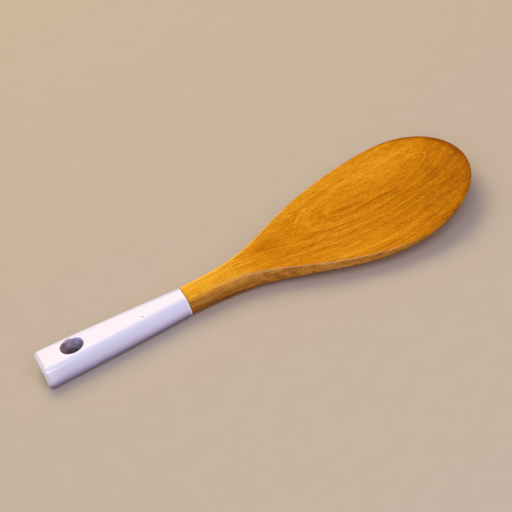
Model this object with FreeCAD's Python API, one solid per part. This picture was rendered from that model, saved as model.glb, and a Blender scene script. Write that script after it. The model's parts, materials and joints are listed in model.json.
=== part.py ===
import FreeCAD, Part
import math
import os

# A rice paddle: a carved wooden blade whose tang is glued into a glossy moulded handle sleeve.
# X runs from the handle's end to the blade's tip, Z is up, and the underside lies on z = 0.
# All lengths are in millimetres, and all shares are parts of the sizes that they follow.

# Whole paddle
overall_length = 210.0
handle_length = 70.0
waist_width = 14.4
waist_thickness = 10.5

# Handle sleeve
handle_end_width = 19.1
handle_middle_width = 17.8
handle_end_thickness = 11.1
handle_end_rounding = 2.45
handle_front_rounding = 0.35
handle_wall = 2.05
underside_trim = 0.05
hole_diameter = 10.3
hole_place = 16.5
hole_rounding = 0.7
hole_web = 3.5

# Blade
blade_width = 74.5
rim_thickness = 1.85
rim_dip = 2.05
tip_lift = 4.66
dish_fall = 3.7
dish_rise = 1.2
keel_rise = 4.0

# Tang and its glue joint
tang_draft = 0.4
tang_corner_bevel = 1.5
tang_end_bevel = 0.8
flute_diameter = 1.8
flute_depth = 0.5
flute_start = 4.0
glue_film = 0.15
glue_pocket = 1.0

# Cuts and trimmed blanks reach past their faces by this much
overrun = 6.0

# Rounding of the long edges, as a share of the thickness that they border
handle_end_edge_share = 0.30
waist_edge_share = 0.48
rim_edge_share = 0.46

# Where the handle's sections stand, first round its soft end and then along its length
handle_shares = (0.0, 0.2, 0.4, 0.6, 0.8, 1.0)

# Where the strips start that each rounded edge of the blade is made of
strip_shares = (0.0, 0.25, 0.5, 0.75)

# How much of a right angle the mouths of the hanging hole have turned through, step by step
mouth_turn_shares = (0.0, 0.33, 0.67)

# Places along the blade: its widest point, the fan of sections that swings round the tip,
# the fall of the dish from the neck to its floor, and where the keel leaves the table
widest_share = 0.73
fan_start_share = 0.55
fan_end_share = 0.80
dish_start_share = 0.14
dish_floor_share = 0.60
keel_start_share = 0.40

# Sections from behind the waist to the widest point: place along the blade, growth from
# waist to full width, dip of the rim, thickness of the rim between tip and waist, edge rounding
neck_shares = [
    (-0.10, 0.000, 0.00, 1.04, waist_edge_share),
    (0.00, 0.000, 0.00, 1.00, waist_edge_share),
    (0.08, 0.008, 0.02, 0.97, 0.45),
    (0.16, 0.038, 0.08, 0.91, 0.40),
    (0.25, 0.150, 0.23, 0.72, 0.30),
    (0.34, 0.360, 0.42, 0.50, 0.22),
    (0.43, 0.592, 0.60, 0.34, 0.22),
    (0.55, 0.833, 0.93, 0.24, 0.24),
    (0.73, 1.000, 0.75, 0.04, 0.40),
]

# Sections round the elliptic tip: place along the blade, lift of the rim, thickness as above
tip_shares = [
    (0.8330, 0.53, 0.01),
    (0.9210, 0.84, 0.00),
    (0.9795, 0.97, 0.00),
    (0.9993, 1.00, 0.00),
    (1.0000, 1.00, 0.00),
]

# Places and sizes that follow from the values above
handle_end_x = -overall_length / 2
waist_x = handle_end_x + handle_length
tip_x = overall_length / 2
blade_length = tip_x - waist_x
rim_low = waist_thickness - rim_dip
hole_x = handle_end_x + hole_place
hole_radius = hole_diameter / 2
socket_end_x = hole_x + hole_radius + hole_web
tang_end_x = socket_end_x + glue_pocket
tang_length = waist_x - tang_end_x
tang_width = waist_width - 2 * (handle_wall + glue_film)
tang_thickness = waist_thickness - 2 * (handle_wall + glue_film)
tang_height = waist_thickness / 2
right_angle = math.pi / 2

point = FreeCAD.Vector
across = point(0, 1, 0)
upward = point(0, 0, 1)
origin = point(0, 0, 0)


def rounded_rectangle(x, height, width, thickness, radius):
    """A closed rectangle with rounded corners, square to X, with its middle at the given height."""
    corners = []
    for side, level in ((1, 1), (-1, 1), (-1, -1), (1, -1)):
        y = side * (width / 2 - radius)
        z = height + level * (thickness / 2 - radius)
        slant = radius / math.sqrt(2)
        beside = point(x, y + side * radius, z)
        outside = point(x, y + side * slant, z + level * slant)
        above = point(x, y, z + level * radius)
        first, last = (beside, above) if side == level else (above, beside)
        corners.append((first, outside, last))
    edges = []
    for corner, following in zip(corners, corners[1:] + corners[:1]):
        edges.append(Part.Arc(*corner).toShape())
        edges.append(Part.makeLine(corner[2], following[0]))
    return Part.Wire(edges)


# Handle sleeve

def handle_thickness(x):
    """The handle's thickness, which tapers evenly from its end to the waist."""
    share = (x - handle_end_x) / handle_length
    return handle_end_thickness + share * (waist_thickness - handle_end_thickness)


def handle_section(x, inset):
    """The handle's section at x, drawn in all round by the inset, with the trim still below z = 0."""
    share = (x - handle_end_x) / handle_length
    straight = handle_end_width + share * (waist_width - handle_end_width)
    swell = handle_middle_width - (handle_end_width + waist_width) / 2
    width = straight + 4 * swell * share * (1 - share)
    top = handle_thickness(x)
    thickness = top + underside_trim - 2 * inset
    edge_share = handle_end_edge_share + share * (waist_edge_share - handle_end_edge_share)
    radius = edge_share * top - inset
    return rounded_rectangle(x, (top - underside_trim) / 2, width - 2 * inset, thickness, radius)


def handle_blank():
    """The handle: a soft end, a long bowed body, a small front bevel and a levelled underside."""
    sections = []
    for share in handle_shares:
        turn = share * right_angle
        x = handle_end_x + handle_end_rounding * (1 - math.cos(turn))
        sections.append(handle_section(x, handle_end_rounding * (1 - math.sin(turn))))
    start_x = handle_end_x + handle_end_rounding
    bevel_x = waist_x - handle_front_rounding
    for share in handle_shares[1:]:
        sections.append(handle_section(start_x + share * (bevel_x - start_x), 0))
    sections.append(handle_section(waist_x, handle_front_rounding))
    corner = point(handle_end_x - overrun, -handle_end_width, -overrun)
    below = Part.makeBox(handle_length + 2 * overrun, 2 * handle_end_width, overrun, corner)
    return Part.makeLoft(sections, True, True).cut(below)


def hanging_hole():
    """The tool that cuts the hanging hole: a bore that opens in a round mouth at either face."""
    turns = [share * right_angle for share in mouth_turn_shares]
    opening = math.sin(turns[-1])
    flare = point(opening, 0, math.cos(turns[-1])) * overrun
    mouth = []
    for turn in turns:
        out = hole_radius + hole_rounding * (1 - math.cos(turn))
        mouth.append(point(out, 0, hole_rounding * (math.sin(turn) - opening)))
    mouth.append(mouth[-1] + flare)
    mouth.append(point(0, 0, mouth[-1].z))
    top = point(hole_x, 0, handle_thickness(hole_x))
    bottom = point(hole_x, 0, 0)
    upper = [top + place for place in mouth]
    lower = [bottom + point(place.x, 0, -place.z) for place in mouth]
    profile = Part.Face(Part.makePolygon([*upper, *reversed(lower), upper[0]]))
    return profile.revolve(bottom, upward, 360)


def handle_sleeve(socket):
    """The moulded handle with its hanging hole and its blind socket for the tang."""
    return handle_blank().cut(hanging_hole()).cut(socket).Solids[0]


# Tang, socket and glue

def plug_section(x, grow):
    """Corners of the tang's drafted and bevelled section at x, grown all round."""
    shrink = tang_draft * (waist_x - x) / tang_length
    half_width = tang_width / 2 - shrink + grow
    half_thickness = tang_thickness / 2 - shrink + grow
    corners = []
    for side, level in ((1, 1), (-1, 1), (-1, -1), (1, -1)):
        y = side * half_width
        z = tang_height + level * half_thickness
        beside = point(x, y, z - level * tang_corner_bevel)
        above = point(x, y - side * tang_corner_bevel, z)
        corners.extend((beside, above) if side == level else (above, beside))
    return corners


def flat_sided(sections):
    """A solid with flat sides between sections that have as many corners each."""
    outlines = [sections[0], sections[-1]]
    for section_corners, following in zip(sections, sections[1:]):
        sides = list(zip(section_corners, following))
        for first, second in zip(sides, sides[1:] + sides[:1]):
            outlines.append([first[0], first[1], second[1], second[0]])
    faces = [Part.Face(Part.makePolygon([*corners, corners[0]])) for corners in outlines]
    return Part.makeSolid(Part.makeShell(faces))


def tang():
    """The tang, with a bevelled end and a glue flute along its upper and lower faces."""
    bevel = plug_section(tang_end_x + tang_end_bevel, 0)
    end = plug_section(tang_end_x, -tang_end_bevel)
    body = flat_sided([plug_section(waist_x, 0), bevel, end])
    flute_radius = flute_diameter / 2
    for level in (-1, 1):
        offset = tang_thickness / 2 - flute_depth + flute_radius
        root = point(waist_x, 0, tang_height + level * offset)
        end = point(tang_end_x, 0, tang_height + level * (offset - tang_draft))
        direction = (end - root).normalize()
        start = root + direction * flute_start
        body = body.cut(Part.makeCylinder(flute_radius, tang_length, start, direction))
    return body.Solids[0]


# Blade

def rising(place, start_share, total):
    """Height and slope of a line that lifts off at its start and has risen in full at the fan's end."""
    span = fan_end_share - start_share
    share = max(0, place - start_share) / span
    return total * share ** 2, 2 * total * share / (span * blade_length)


def dish_line(place):
    """Height and slope of the dish's middle: an even fall from the neck, then a rise to the tip."""
    share = (place - dish_start_share) / (dish_floor_share - dish_start_share)
    fall = dish_fall * (1 - math.cos(math.pi * min(1, max(0, share)))) / 2
    rise, slope = rising(place, dish_floor_share, dish_rise)
    return waist_thickness - fall + rise, slope


def bow(start, start_slope, end, end_slope):
    """Poles of a curve between two places (distance out, height) that have given slopes."""
    third = (end[0] - start[0]) / 3
    leave = (start[0] + third, start[1] + third * start_slope)
    arrive = (end[0] - third, end[1] - third * end_slope)
    return [start, leave, arrive, end]


def round_strips(centre, radius, start, end):
    """Poles of the strips that make up a round edge, from one angle to another."""
    angles = [start + share * (end - start) for share in strip_shares] + [end]
    strips = []
    for first, last in zip(angles, angles[1:]):
        handle = radius * math.tan((last - first) / 4) * 4 / 3
        ends = []
        for angle, pull in ((first, handle), (last, -handle)):
            out = centre[0] + radius * math.cos(angle)
            height = centre[1] + radius * math.sin(angle)
            ends.append((out, height))
            ends.append((out - pull * math.sin(angle), height + pull * math.cos(angle)))
        strips.append([ends[0], ends[1], ends[3], ends[2]])
    return strips


def half_profile(reach, rim_top, thickness, radius, middle, middle_slope, keel, keel_slope):
    """Poles of a closed half section: dish, rounded rim, underside and the cut on the centre line."""
    rim_bottom = rim_top - thickness
    top_slope = 2 * (rim_top - middle) / reach - middle_slope
    bottom_slope = 2 * (rim_bottom - keel) / reach - keel_slope
    top_centre = (reach - radius, rim_top - radius)
    bottom_centre = (reach - radius, rim_bottom + radius)
    top_round = round_strips(top_centre, radius, right_angle + math.atan(top_slope), 0)
    bottom_round = round_strips(bottom_centre, radius, 0, math.atan(bottom_slope) - right_angle)
    dish = bow((0, middle), middle_slope, top_round[0][0], top_slope)
    underside = bow(bottom_round[-1][-1], bottom_slope, (0, keel), keel_slope)
    rim = [top_round[-1][-1], bottom_round[0][0]]
    cut = [(0, keel), (0, middle)]
    return [cut, dish, *top_round, rim, *bottom_round, underside]


def section(place, half_width, rim_top, thickness_share, edge_share):
    """A closed half section in the upright plane from the centre line out to a point of the rim."""
    fan_share = (fan_end_share - fan_start_share) / (1 - fan_start_share)
    centre = min(place, fan_start_share) + fan_share * max(0, place - fan_start_share)
    inner = point(waist_x + centre * blade_length, 0, 0)
    outward = point(waist_x + place * blade_length, -half_width, 0) - inner
    reach = outward.Length
    outward.normalize()
    middle, middle_slope = dish_line(centre)
    keel, keel_slope = rising(centre, keel_start_share, keel_rise)
    middle_slope = middle_slope * outward.x
    keel_slope = keel_slope * outward.x
    thickness = rim_thickness + thickness_share * (waist_thickness - rim_thickness)
    radius = edge_share * thickness
    profile = half_profile(reach, rim_top, thickness, radius, middle, middle_slope, keel, keel_slope)
    edges = []
    for poles in profile:
        curve = Part.BezierCurve()
        curve.setPoles([inner + outward * out + upward * height for out, height in poles])
        edges.append(curve.toShape())
    return Part.Wire(edges)


def blade():
    """The dished blade and neck: sections along the neck that fan round the tip, mirrored."""
    sections = []
    for place, growth, dip, thickness_share, edge_share in neck_shares:
        half_width = (waist_width + growth * (blade_width - waist_width)) / 2
        rim_top = waist_thickness - dip * rim_dip
        sections.append(section(place, half_width, rim_top, thickness_share, edge_share))
    for place, lift, thickness_share in tip_shares:
        share = (place - widest_share) / (1 - widest_share)
        half_width = blade_width / 2 * math.sqrt(1 - share ** 2)
        rim_top = rim_low + lift * tip_lift
        sections.append(section(place, half_width, rim_top, thickness_share, rim_edge_share))
    half = Part.makeLoft(sections, True, False)
    corner = point(waist_x, -blade_width, -overrun)
    ahead = Part.makeBox(blade_length + overrun, 2 * blade_width, blade_width, corner)
    half = half.common(ahead).Solids[0]
    return half.fuse(half.mirror(origin, across)).removeSplitter().Solids[0]


# Assembly

os.makedirs("parts", exist_ok=True)
socket = flat_sided([plug_section(x, glue_film) for x in (waist_x, socket_end_x)])
paddle = blade().fuse(tang()).removeSplitter().Solids[0]
pieces = {
    "wooden_paddle": paddle,
    "handle_sleeve": handle_sleeve(socket),
    "glue_bond": socket.cut(paddle).Solids[0],
}
for name, piece in pieces.items():
    piece.exportStep("parts/" + name + ".step")
    print(name, piece.isValid(), round(piece.Volume, 1), piece.BoundBox)
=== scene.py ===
import json
import math

import bpy
from mathutils import Matrix, Vector


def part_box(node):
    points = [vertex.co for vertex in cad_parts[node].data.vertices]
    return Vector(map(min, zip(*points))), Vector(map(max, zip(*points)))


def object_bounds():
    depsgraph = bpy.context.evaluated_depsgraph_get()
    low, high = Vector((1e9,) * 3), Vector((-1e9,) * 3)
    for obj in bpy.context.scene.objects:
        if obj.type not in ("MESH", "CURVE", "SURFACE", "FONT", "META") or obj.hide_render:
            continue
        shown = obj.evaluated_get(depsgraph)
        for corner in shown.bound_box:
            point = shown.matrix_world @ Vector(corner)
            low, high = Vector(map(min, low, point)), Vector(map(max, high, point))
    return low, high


# Looks of the rice paddle: honey-coloured wood, a glossy white handle, a pale floor and soft light.
# Lengths are in metres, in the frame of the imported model: X runs from the handle's end to the
# blade's tip, Y across to the far side, and Z up.

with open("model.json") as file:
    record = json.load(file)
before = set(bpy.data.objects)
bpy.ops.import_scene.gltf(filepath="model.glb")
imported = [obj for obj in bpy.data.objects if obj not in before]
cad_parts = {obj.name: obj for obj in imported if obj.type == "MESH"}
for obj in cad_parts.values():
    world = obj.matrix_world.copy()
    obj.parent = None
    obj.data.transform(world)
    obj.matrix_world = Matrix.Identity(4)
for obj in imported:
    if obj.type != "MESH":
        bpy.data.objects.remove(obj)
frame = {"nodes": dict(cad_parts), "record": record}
cad_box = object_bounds()

# Camera: its place was found by fitting the paddle's outline in a square picture
picture_size = 512
sensor_millimetres = 36.0
camera_elevation = math.radians(37.24)
camera_swing = math.radians(10.83)
camera_roll = math.radians(19.52)
camera_distance = 0.971
pixels_per_metre = 2273.1
aim_pixel = (256.72, 265.90)
aim_height = 0.0055

# Landmarks: both ends of the handle, its hanging hole and the round tip of the blade
millimetre = 0.001
end_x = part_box("handle_sleeve")[0].x
joint_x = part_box("handle_sleeve")[1].x
mounts = {mount["name"]: mount for mount in frame["record"]["mounts"]}
hole_middle = Vector(mounts["hanging_hole"]["pos_m"])
hole_radius = mounts["hanging_hole"]["dims"]["r_mm"] * millimetre
tip_middle = (0.0672, 0.0)
tip_radius = 0.0375


# Wood values

# Colours of the top and of the sides, each from the darkest to the palest fibres
wood_tones = [
    (0.15, (0.30, 0.074, 0.001)),
    (0.50, (0.64, 0.225, 0.002)),
    (0.85, (0.92, 0.460, 0.030)),
]
# The side colours are greyer and darker than the top's: painted reflection and painted shade
side_sheen_and_shade_tones = [
    (0.15, (0.22, 0.086, 0.016)),
    (0.50, (0.46, 0.200, 0.036)),
    (0.85, (0.68, 0.345, 0.085)),
]

# Colours of the painted highlights on the near arris and on the far edge, and how far they cover the
# wood
arris_highlight_colour = (0.64, 0.37, 0.20)
arris_highlight_cover = 0.45
far_edge_highlight_colour = (0.98, 0.62, 0.12)
far_edge_highlight_cover = 0.50

# Growth rings: the middle and lean of their loops on the blade, how far the rings open from the
# middle to the neck and to the tip, their spacing, and how much they climb, drift and waver
loop_middle = (0.072, 0.0125)
loop_lean = 0.04
loop_neck = 0.004
loop_opening = 0.0165
loop_stretch = 3.6
ring_step = 0.0062
ring_start = -0.0016
ring_rise = 0.6
ring_drift = 0.004
ring_waver = 0.0009

# The pale line of a ring, in parts of the ring's width, how it fades along its length, and how
# strongly the line of each ring shows, from the middle outwards
line_rise = (0.0, 0.05)
line_fall = (0.05, 0.13)
line_fade = (0.40, 0.60, 0.08, 1.0)
line_strengths = [0.0, 0.2, 0.6, 0.85, 0.6, 0.7, 0.45, 0.6, 0.4, 0.7]

# Noise of the rings and of the grain: its scale per metre along X, Y and Z, detail and roughness.
# The grain of the board follows the place on the paddle, and the grain of the rings follows the rings.
drift_noise = ((16.0, 45.0, 45.0), 2.0, 0.5)
waver_noise = ((70.0, 260.0, 260.0), 2.0, 0.5)
fade_noise = ((38.0, 60.0, 60.0), 2.0, 0.5)
ring_grain = {
    "bands": ((9.0, 260.0, 90.0), 4.0, 0.6),
    "fine_rings": ((7.0, 850.0, 60.0), 1.0, 0.5),
}
board_grain = {
    "streaks": ((30.0, 480.0, 480.0), 3.0, 0.6),
    "fibres": ((140.0, 1500.0, 1500.0), 3.0, 0.65),
    "flecks": ((900.0, 1900.0, 1900.0), 2.0, 0.6),
    "dark_noise": ((26.0, 700.0, 700.0), 2.0, 0.5),
    "pore_noise": ((190.0, 3000.0, 3000.0), 1.0, 0.5),
}
noise_mean = 0.5

# Ovals in plan that some marks follow: their middle and their half axes
wood_ovals = {
    "dish_oval": ((0.078, 0.020), (0.022, 0.012)),
    "near_oval": ((0.050, -0.026), (0.045, 0.013)),
    "start_oval": ((0.0085, 0.0045), (0.010, 0.008)),
}

# How far the painted shade of the tip leans to its near side, and the slanted line along which a
# band of painted shade lies in the dish
tip_shade_lean = 0.6
band_slope = 0.224
band_height = 0.0198

# Marks on the wood. Each is a product of fades. A fade names what it follows, where it starts and
# where it is full, and may add its levels there. Across and rise are parts of the surface's normal,
# and level is the size of rise: 1 on a level face and 0 on an upright side.
wood_marks = {
    # Dark streaks, fainter on the far side, at the tip and on the neck, and pores
    "dark": [
        ("dark_noise", 0.57, 0.67),
        ("y", 0.022, 0.004, 0.3, 1.0),
        ("x", 0.055, 0.090, 1.0, 0.25),
        ("x", 0.008, 0.035, 0.2, 1.0),
    ],
    "pores": [("pore_noise", 0.58, 0.72)],
    # Painted light falloff: the top of the neck painted lighter and the tip painted darker, as light
    # falls off
    "painted_neck_light": [("x", 0.010, -0.030), ("level", 0.45, 0.92)],
    "painted_tip_shade": [("toward_tip", 0.030, 0.125)],
    # Painted sheen on the far half and on a part of the dish, and lighter along a stretch of the near
    # side
    "far": [("y", 0.0, 0.034)],
    "dish_sheen": [("dish_oval", 1.2, 0.1)],
    "near_pale": [("near_oval", 1.2, 0.1)],
    # Painted shade: the start of the dish on the flare, and a band beside the painted sheen of the dish
    "start_shade": [("start_oval", 1.1, 0.2)],
    "dish_shade_band": [
        ("over_band", 0.0008, -0.0012),
        ("over_band", -0.0085, -0.0015),
        ("x", 0.026, 0.050),
        ("x", 0.094, 0.064),
        ("streaks", 0.40, 0.60, 1.0, 0.45),
    ],
    # Painted shade: a dark line on the wood beside the handle, and the rim of the tip
    "joint_shade": [("past_joint", 0.0006, 0.0001)],
    "tip_rim_shade": [
        ("past_tip_round", -0.0035, 0.0),
        ("y", -0.014, 0.010, 0.3, 1.0),
        ("past_tip_middle", 0.0, 0.020),
        ("level", 0.30, 0.80, 0.2, 1.0),
    ],
    # Painted highlights: a straw-coloured line along the neck's far edge, and a pale line on the near
    # arris
    "far_edge_highlight": [
        ("across", 0.02, 0.12),
        ("y", 0.001, 0.004),
        ("x", tip_middle[0], 0.030),
        ("level", 0.60, 0.86),
        ("fibres", 0.30, 0.60, 0.35, 1.0),
    ],
    "near_arris_highlight": [
        ("level", 0.45, 0.75),
        ("level", 0.985, 0.90),
        ("across", -0.05, -0.25),
        ("x", -0.034, 0.012),
        ("x", 0.074, 0.042),
    ],
    # The sides: colours of painted reflection and shade, streaks, and painted shade low down and on
    # faces turned down
    "side": [("level", 0.40, 0.90, 0.75, 0.0), ("x", 0.055, 0.095, 1.0, 0.15)],
    "streaked_side": [("level", 0.85, 0.50), ("x", 0.030, 0.0, 0.35, 1.0)],
    "low_side_shade": [("z", 0.0065, 0.0015), ("level", 0.80, 0.50)],
    "turned_down_shade": [("rise", 0.15, -0.50), ("level", 0.97, 0.80)],
}

# How much each kind of grain and each mark lightens the wood, or darkens it where the weight is
# negative, and what is taken off their sum
tone_weights = {
    "fibres": 0.53,
    "flecks": 0.55,
    "streaks": 0.24,
    "bands": 0.30,
    "fine_rings": 0.18,
    "lines": 0.20,
    "dark": -0.19,
    "pores": -0.12,
    "painted_neck_light": 0.29,
    "painted_tip_shade": -0.19,
    "far": 0.08,
    "dish_sheen": 0.08,
    "near_pale": 0.10,
    "start_shade": -0.12,
    "joint_shade": -0.25,
    "tip_rim_shade": -0.34,
    "far_edge_highlight": 0.35,
    "low_side_shade": -0.16,
    "dish_shade_band": -0.13,
    "turned_down_shade": -0.16,
    "side_streaks": 0.70,
}
tone_drop = 0.387

# Sheen and relief: roughness over the fibres, specular level, depth of pores beside fibres, and bump
wood_roughness = (0.3, 0.7, 0.32, 0.46)
wood_specular = 0.008
pore_depth = 0.8
wood_bump = 0.25
wood_relief = 0.00012


# Handle values

# Colours of the moulding, its painted shade low down, its painted highlights, its speck, and the bore's
# painted shade
white_low = (0.78, 0.75, 0.92)
white_high = (0.80, 0.77, 0.94)
low_shade_colour = (0.27, 0.175, 0.35)
highlight_colour = (0.93, 0.92, 1.0)
speck_colour = (0.22, 0.16, 0.22)
shaded_bore_end_colour = (0.50, 0.30, 0.34)
shaded_bore_blade_colour = (0.74, 0.65, 0.92)

# A small dark speck on top: its place, its radius and the radius of its darkest part
speck_place = (-0.0556, -0.0034)
speck_radius = 0.00055
speck_core = 0.000275

# Noise of the flow marks and of the fine mottle
handle_grain = {
    "flow": ((18.0, 90.0, 90.0), 2.0, 0.5),
    "mottle": ((420.0, 420.0, 700.0), 3.0, 0.65),
}

# Marks on the handle, written as those on the wood
handle_marks = {
    # Flow marks, painted shade low down, painted highlights at both ends, a painted reflection near the
    # end, and the speck
    "flow_tint": [("flow", 0.3, 0.7)],
    "painted_low_shade": [("z", 0.0070, 0.0015), ("mottle", 0.2, 0.8, 0.90, 1.0), ("rise", -0.995, -0.90)],
    "joint_highlight": [("past_joint", -0.0012, -0.0006)],
    "end_highlight": [("past_end", 0.0009, 0.0003)],
    "end_reflection": [("past_end", 0.009, 0.001, 0.0, 0.7), ("rise", 0.95, 0.70), ("z", 0.0025, 0.0060)],
    "speck": [("from_speck", speck_radius, speck_core), ("rise", 0.5, 0.9)],
    # The bore: where it is, and its painted shade, darker towards the handle's end and deeper down, with
    # a mottle
    "bore": [("past_bore", 0.0001, 0.0005, 1.0, 0.0)],
    "bore_turn": [("past_hole", -0.004, 0.004)],
    "bore_depth_shade": [("mottle", 0.35, 0.65, 0.6, 1.2), ("over_hole", -0.0035, 0.0040, 0.10, 1.0)],
    # Roughness of the gloss
    "gloss_wear": [("mottle", 0.3, 0.75, 0.03, 0.07)],
}

# Sheen and relief of the handle
bore_roughness = 0.35
handle_specular = 0.5
flow_bump = 0.06
flow_relief = 0.0004


# Glue and floor values

glue_noise = ((300.0, 300.0, 300.0), 3.0, 0.5)
glue_dark = (0.70, 0.58, 0.34)
glue_pale = (0.84, 0.76, 0.56)
glue_roughness = (0.3, 0.7, 0.35, 0.55)

floor_size = 6.0
floor_gap = 0.0001
floor_noise = ((90.0, 90.0, 90.0), 4.0, 0.5)
floor_dark = (0.54, 0.452, 0.352)
floor_pale = (0.57, 0.482, 0.382)
floor_roughness = 0.9
floor_specular = 0.1


# Light values

# Soft boxes: a warm window behind, a cool fill in front that no gloss mirrors, and a strip that
# only gloss shows. The room adds even light.
lamps = [
    {
        "name": "window",
        "place": (0.0, 0.776, 0.993),
        "aim": (0.0, 0.0, 0.0),
        "size": (0.95, 1.02),
        "watts": 10.2,
        "colour": (1.0, 0.83, 0.42),
        "mirrored": True,
        "lighting": True,
    },
    {
        "name": "front_fill",
        "place": (0.05, -0.85, 0.88),
        "aim": (0.0, 0.0, 0.0),
        "size": (1.5, 1.0),
        "watts": 9.4,
        "colour": (0.80, 0.80, 1.0),
        "mirrored": False,
        "lighting": True,
    },
    {
        "name": "strip",
        "place": (-0.52, -0.60, 0.82),
        "aim": (-0.1, 0.0, 0.0),
        "size": (1.2, 0.40),
        "watts": 26.0,
        "colour": (0.90, 0.95, 1.0),
        "mirrored": True,
        "lighting": False,
    },
]
room_colour = (0.80, 0.81, 1.0)
room_strength = 0.42


# Node helpers

# Places of a colour mix's sockets among its inputs and outputs
mix_factor = 0
mix_first = 6
mix_second = 7
mix_result = 2


class Graph:
    """Short ways to add shader nodes to one material."""

    def __init__(self, name):
        self.material = bpy.data.materials.new(name)
        self.material.use_nodes = True
        self.tree = self.material.node_tree
        self.shader = self.tree.nodes["Principled BSDF"]

    def add(self, kind, **settings):
        """A new node, with some of its properties set."""
        node = self.tree.nodes.new(kind)
        for key, value in settings.items():
            setattr(node, key, value)
        return node

    def feed(self, socket, value):
        """Links a socket to another node's output, or sets it to a plain value."""
        if isinstance(value, bpy.types.NodeSocket):
            self.tree.links.new(value, socket)
        else:
            socket.default_value = value

    def shade(self, name, value):
        """Feeds one input of the material's shader."""
        self.feed(self.shader.inputs[name], value)

    def maths(self, operation, first, second=0.0):
        """One step of arithmetic on values that come from nodes or are plain."""
        node = self.add("ShaderNodeMath", operation=operation)
        self.feed(node.inputs[0], first)
        self.feed(node.inputs[1], second)
        return node.outputs[0]

    def place(self):
        """The point's place in its object's own frame, in metres."""
        return self.add("ShaderNodeTexCoord").outputs["Object"]

    def normal(self):
        """The X, Y and Z parts of the surface's normal."""
        return self.parts(self.add("ShaderNodeNewGeometry").outputs["Normal"])

    def parts(self, vector):
        """The X, Y and Z parts of a vector."""
        node = self.add("ShaderNodeSeparateXYZ")
        self.feed(node.inputs[0], vector)
        return node.outputs

    def noise(self, vector, scale, detail, roughness):
        """Noise with its own scale along each axis."""
        stretch = self.add("ShaderNodeVectorMath", operation="MULTIPLY")
        self.feed(stretch.inputs[0], vector)
        stretch.inputs[1].default_value = scale
        node = self.add("ShaderNodeTexNoise")
        self.feed(node.inputs["Vector"], stretch.outputs[0])
        node.inputs["Scale"].default_value = 1.0
        node.inputs["Detail"].default_value = detail
        node.inputs["Roughness"].default_value = roughness
        return node.outputs["Fac"]

    def remap(self, value, low, high, to_low=0.0, to_high=1.0):
        """Takes a range smoothly to another range."""
        node = self.add("ShaderNodeMapRange", interpolation_type="SMOOTHSTEP")
        self.feed(node.inputs["Value"], value)
        node.inputs["From Min"].default_value = low
        node.inputs["From Max"].default_value = high
        node.inputs["To Min"].default_value = to_low
        node.inputs["To Max"].default_value = to_high
        return node.outputs["Result"]

    def ramp(self, value, stops, interpolation="LINEAR"):
        """A colour for each value, from a list of positions and colours."""
        node = self.add("ShaderNodeValToRGB")
        self.feed(node.inputs["Fac"], value)
        node.color_ramp.interpolation = interpolation
        elements = node.color_ramp.elements
        halfway = 0.5
        while len(elements) < len(stops):
            elements.new(halfway)
        for element, (position, colour) in zip(elements, stops):
            element.position = position
            element.color = (*colour, 1.0)
        return node.outputs["Color"]

    def mix(self, factor, first, second, blend="MIX"):
        """A mix of two colours, each from a node or plain."""
        node = self.add("ShaderNodeMix", data_type="RGBA", blend_type=blend)
        self.feed(node.inputs[mix_factor], factor)
        for index, colour in ((mix_first, first), (mix_second, second)):
            linked = isinstance(colour, bpy.types.NodeSocket)
            self.feed(node.inputs[index], colour if linked else (*colour, 1.0))
        return node.outputs[mix_result]

    def around(self, vector, middle, axes=(1.0, 1.0)):
        """The distance in plan from a middle, in parts of two half axes along X and Y."""
        x, y, _ = self.parts(vector)
        along = self.maths("DIVIDE", self.maths("SUBTRACT", x, middle[0]), axes[0])
        across = self.maths("DIVIDE", self.maths("SUBTRACT", y, middle[1]), axes[1])
        square = self.maths("ADD", self.maths("POWER", along, 2.0), self.maths("POWER", across, 2.0))
        return self.maths("SQRT", square)

    def bump(self, height, strength, distance):
        """A normal that follows fine relief."""
        node = self.add("ShaderNodeBump")
        self.feed(node.inputs["Height"], height)
        node.inputs["Strength"].default_value = strength
        node.inputs["Distance"].default_value = distance
        return node.outputs["Normal"]

    def product(self, values):
        """The product of several values."""
        result = values[0]
        for value in values[1:]:
            result = self.maths("MULTIPLY", result, value)
        return result

    def weighed(self, values, weights):
        """The sum of named values, each times its weight."""
        terms = [self.maths("MULTIPLY", values[name], weight) for name, weight in weights.items()]
        result = terms[0]
        for term in terms[1:]:
            result = self.maths("ADD", result, term)
        return result

    def marks(self, values, table):
        """Each mark of a table, as the product of its fades over named values."""
        marks = {}
        for name, fades in table.items():
            marks[name] = self.product([self.remap(values[follows], *span) for follows, *span in fades])
        return marks


# Materials

def ring_distance(graph, place):
    """How far out a point lies in the growth rings, which the dish cuts into long loops."""
    x, y, z = graph.parts(place)
    along = graph.maths("SUBTRACT", x, loop_middle[0])
    across = graph.maths("SUBTRACT", y, loop_middle[1])
    across = graph.maths("SUBTRACT", across, graph.maths("MULTIPLY", along, loop_lean))
    to_neck = graph.remap(x, loop_neck, loop_middle[0], loop_opening, 0.0)
    to_tip = graph.maths("DIVIDE", graph.maths("MAXIMUM", along, 0.0), loop_stretch)
    opening = graph.maths("ADD", to_neck, to_tip)
    square = graph.maths("ADD", graph.maths("POWER", opening, 2.0), graph.maths("POWER", across, 2.0))
    drift = graph.noise(place, *drift_noise)
    waver = graph.noise(place, *waver_noise)
    rings = graph.maths("ADD", graph.maths("SQRT", square), graph.maths("MULTIPLY", z, ring_rise))
    rings = graph.maths("ADD", rings, graph.maths("MULTIPLY", drift, ring_drift))
    return graph.maths("ADD", rings, graph.maths("MULTIPLY", waver, ring_waver))


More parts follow.
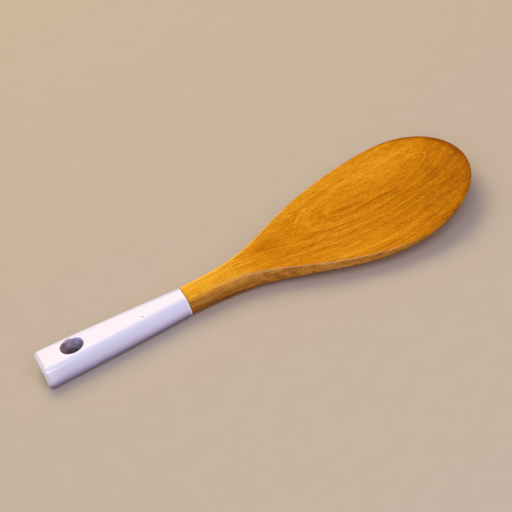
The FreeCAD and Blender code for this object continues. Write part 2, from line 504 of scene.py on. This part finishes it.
def ring_lines(graph, rings, place):
    """Pale lines between the rings, which come and go along their length."""
    count = graph.maths("DIVIDE", graph.maths("ADD", rings, ring_start), ring_step)
    part = graph.maths("FRACT", count)
    line = graph.maths("SUBTRACT", graph.remap(part, *line_rise), graph.remap(part, *line_fall))
    share = 1 / len(line_strengths)
    strengths = [(share * ring, (strength,) * 3) for ring, strength in enumerate(line_strengths)]
    strength = graph.ramp(graph.maths("MULTIPLY", count, share), strengths, "CONSTANT")
    fading = graph.remap(graph.noise(place, *fade_noise), *line_fade)
    return graph.maths("MULTIPLY", line, graph.maths("MULTIPLY", strength, fading))


def wood_values(graph):
    """What the wood's look follows: place, slope, grain, and distances from landmarks."""
    place = graph.place()
    x, y, z = graph.parts(place)
    _, across, rise = graph.normal()
    rings = ring_distance(graph, place)
    ring_place = graph.add("ShaderNodeCombineXYZ")
    for socket, value in zip(ring_place.inputs, (x, rings, z)):
        graph.feed(socket, value)

    values = {"x": x, "y": y, "z": z, "across": across, "rise": rise}
    values["level"] = graph.maths("ABSOLUTE", rise)
    values["lines"] = ring_lines(graph, rings, place)
    for name, grain in ring_grain.items():
        values[name] = graph.noise(ring_place.outputs[0], *grain)
    for name, grain in board_grain.items():
        values[name] = graph.noise(place, *grain)
    for name, (middle, axes) in wood_ovals.items():
        values[name] = graph.around(place, middle, axes)
    values["toward_tip"] = graph.maths("SUBTRACT", x, graph.maths("MULTIPLY", y, tip_shade_lean))
    slanted = graph.maths("ADD", y, graph.maths("MULTIPLY", x, band_slope))
    values["over_band"] = graph.maths("SUBTRACT", slanted, band_height)
    values["past_joint"] = graph.maths("SUBTRACT", x, joint_x)
    values["past_tip_middle"] = graph.maths("SUBTRACT", x, tip_middle[0])
    values["past_tip_round"] = graph.maths("SUBTRACT", graph.around(place, tip_middle), tip_radius)
    return values


def wood_material():
    """Oiled honey-coloured wood with long loops, fine fibres and pores, and painted light falloff:
    lighter at the neck, darker towards the tip.
    """
    graph = Graph("oiled_wood")
    values = wood_values(graph)
    values.update(graph.marks(values, wood_marks))
    around_mean = graph.maths("SUBTRACT", values["streaks"], noise_mean)
    values["side_streaks"] = graph.maths("MULTIPLY", around_mean, values["streaked_side"])

    tone = graph.maths("SUBTRACT", graph.weighed(values, tone_weights), tone_drop)
    # The sides take colours of painted reflection and shade
    colour = graph.mix(values["side"], graph.ramp(tone, wood_tones), graph.ramp(tone, side_sheen_and_shade_tones))
    # Painted highlights on the near arris and on the far edge
    colour = graph.mix(graph.maths("MULTIPLY", values["near_arris_highlight"], arris_highlight_cover), colour, arris_highlight_colour)
    colour = graph.mix(graph.maths("MULTIPLY", values["far_edge_highlight"], far_edge_highlight_cover), colour, far_edge_highlight_colour)
    graph.shade("Base Color", colour)
    graph.shade("Roughness", graph.remap(values["fibres"], *wood_roughness))
    graph.shade("Specular IOR Level", wood_specular)
    pits = graph.maths("MULTIPLY", values["pores"], pore_depth)
    relief = graph.maths("SUBTRACT", values["fibres"], pits)
    graph.shade("Normal", graph.bump(relief, wood_bump, wood_relief))
    return graph.material


def handle_values(graph):
    """What the handle's look follows: place, slope, noise, and distances from landmarks."""
    place = graph.place()
    x, _, z = graph.parts(place)
    _, _, rise = graph.normal()
    values = {"z": z, "rise": rise}
    for name, grain in handle_grain.items():
        values[name] = graph.noise(place, *grain)
    values["past_end"] = graph.maths("SUBTRACT", x, end_x)
    values["past_joint"] = graph.maths("SUBTRACT", x, joint_x)
    values["past_hole"] = graph.maths("SUBTRACT", x, hole_middle.x)
    values["over_hole"] = graph.maths("SUBTRACT", z, hole_middle.z)
    values["past_bore"] = graph.maths("SUBTRACT", graph.around(place, hole_middle), hole_radius)
    values["from_speck"] = graph.around(place, speck_place)
    return values


def handle_material():
    """Glossy white moulding with faint flow marks, painted shade on its lower edges, painted highlights
    at its ends, a specked top and a bore painted in shade, duller in gloss.
    """
    graph = Graph("gloss_white")
    values = handle_values(graph)
    marks = graph.marks(values, handle_marks)
    white = graph.mix(marks["flow_tint"], white_low, white_high)
    # Painted shade on the lower half
    white = graph.mix(marks["painted_low_shade"], white, low_shade_colour)
    # Painted highlights at both ends, and a painted reflection on the end's rounding
    highlights = graph.maths("ADD", marks["joint_highlight"], marks["end_highlight"])
    white = graph.mix(highlights, white, highlight_colour)
    white = graph.mix(marks["end_reflection"], white, highlight_colour)
    white = graph.mix(marks["speck"], white, speck_colour)

    # The bore's colour is painted shade of the white: darker on the end's side and deeper down
    wall = graph.mix(marks["bore_turn"], shaded_bore_end_colour, shaded_bore_blade_colour)
    shaded_bore = graph.mix(1.0, wall, marks["bore_depth_shade"], "MULTIPLY")
    graph.shade("Base Color", graph.mix(marks["bore"], white, shaded_bore))
    bore_dulling = graph.maths("MULTIPLY", marks["bore"], bore_roughness)
    graph.shade("Roughness", graph.maths("MAXIMUM", marks["gloss_wear"], bore_dulling))
    graph.shade("Specular IOR Level", handle_specular)
    graph.shade("Normal", graph.bump(values["flow"], flow_bump, flow_relief))
    return graph.material


def glue_material():
    """Cured wood glue, amber and slightly cloudy."""
    graph = Graph("cured_glue")
    cloud = graph.noise(graph.place(), *glue_noise)
    graph.shade("Base Color", graph.mix(cloud, glue_dark, glue_pale))
    graph.shade("Roughness", graph.remap(cloud, *glue_roughness))
    return graph.material


def floor_material():
    """Plain pale floor."""
    graph = Graph("pale_floor")
    grain = graph.noise(graph.place(), *floor_noise)
    graph.shade("Base Color", graph.mix(grain, floor_dark, floor_pale))
    graph.shade("Roughness", floor_roughness)
    graph.shade("Specular IOR Level", floor_specular)
    return graph.material


# Set

def dress(node, material):
    """Gives a carried-over CAD node its material."""
    mesh = frame["nodes"][node].data
    mesh.materials.clear()
    mesh.materials.append(material)


def make_floor():
    """A wide floor just under the paddle."""
    bpy.ops.mesh.primitive_plane_add(size=floor_size, location=(0, 0, cad_box[0].z - floor_gap))
    floor = bpy.context.object
    floor.name = "floor"
    floor.data.materials.append(floor_material())


def make_lamp(name, place, aim, size, watts, colour, mirrored, lighting):
    """A rectangular soft box that faces a point. It shows in gloss, lights matt surfaces, or both."""
    data = bpy.data.lights.new(name, "AREA")
    data.shape = "RECTANGLE"
    data.size, data.size_y = size
    data.energy = watts
    data.color = colour
    lamp = bpy.data.objects.new(name, data)
    lamp.location = place
    lamp.rotation_euler = (Vector(aim) - Vector(place)).to_track_quat("-Z", "Y").to_euler()
    lamp.visible_glossy = mirrored
    lamp.visible_diffuse = lighting
    bpy.context.scene.collection.objects.link(lamp)


def make_light():
    """The soft boxes, and even light from the room."""
    for lamp in lamps:
        make_lamp(**lamp)
    world = bpy.data.worlds.new("room")
    world.use_nodes = True
    bpy.context.scene.world = world
    back = world.node_tree.nodes["Background"]
    back.inputs["Color"].default_value = (*room_colour, 1.0)
    back.inputs["Strength"].default_value = room_strength


def make_camera():
    """A camera that sees the paddle as the picture does."""
    swing, rise = camera_swing, camera_elevation
    back = Vector((-math.sin(swing) * math.cos(rise), -math.cos(swing) * math.cos(rise), math.sin(rise)))
    level = Vector((math.cos(swing), -math.sin(swing), 0))
    upright = back.cross(level)
    right = math.cos(camera_roll) * level - math.sin(camera_roll) * upright
    up = math.sin(camera_roll) * level + math.cos(camera_roll) * upright
    data = bpy.data.cameras.new("camera")
    data.sensor_width = sensor_millimetres
    data.lens = pixels_per_metre * camera_distance / picture_size * data.sensor_width
    data.shift_x = (picture_size / 2 - aim_pixel[0]) / picture_size
    data.shift_y = (aim_pixel[1] - picture_size / 2) / picture_size
    camera = bpy.data.objects.new("camera", data)
    turn = Matrix((right, up, back)).transposed().to_4x4()
    camera.matrix_world = Matrix.Translation(Vector((0, 0, aim_height)) + back * camera_distance) @ turn
    bpy.context.scene.collection.objects.link(camera)
    bpy.context.scene.camera = camera


dress("wooden_paddle", wood_material())
dress("handle_sleeve", handle_material())
dress("glue_bond", glue_material())
make_floor()
make_light()
make_camera()
bpy.context.scene.view_settings.view_transform = "Standard"
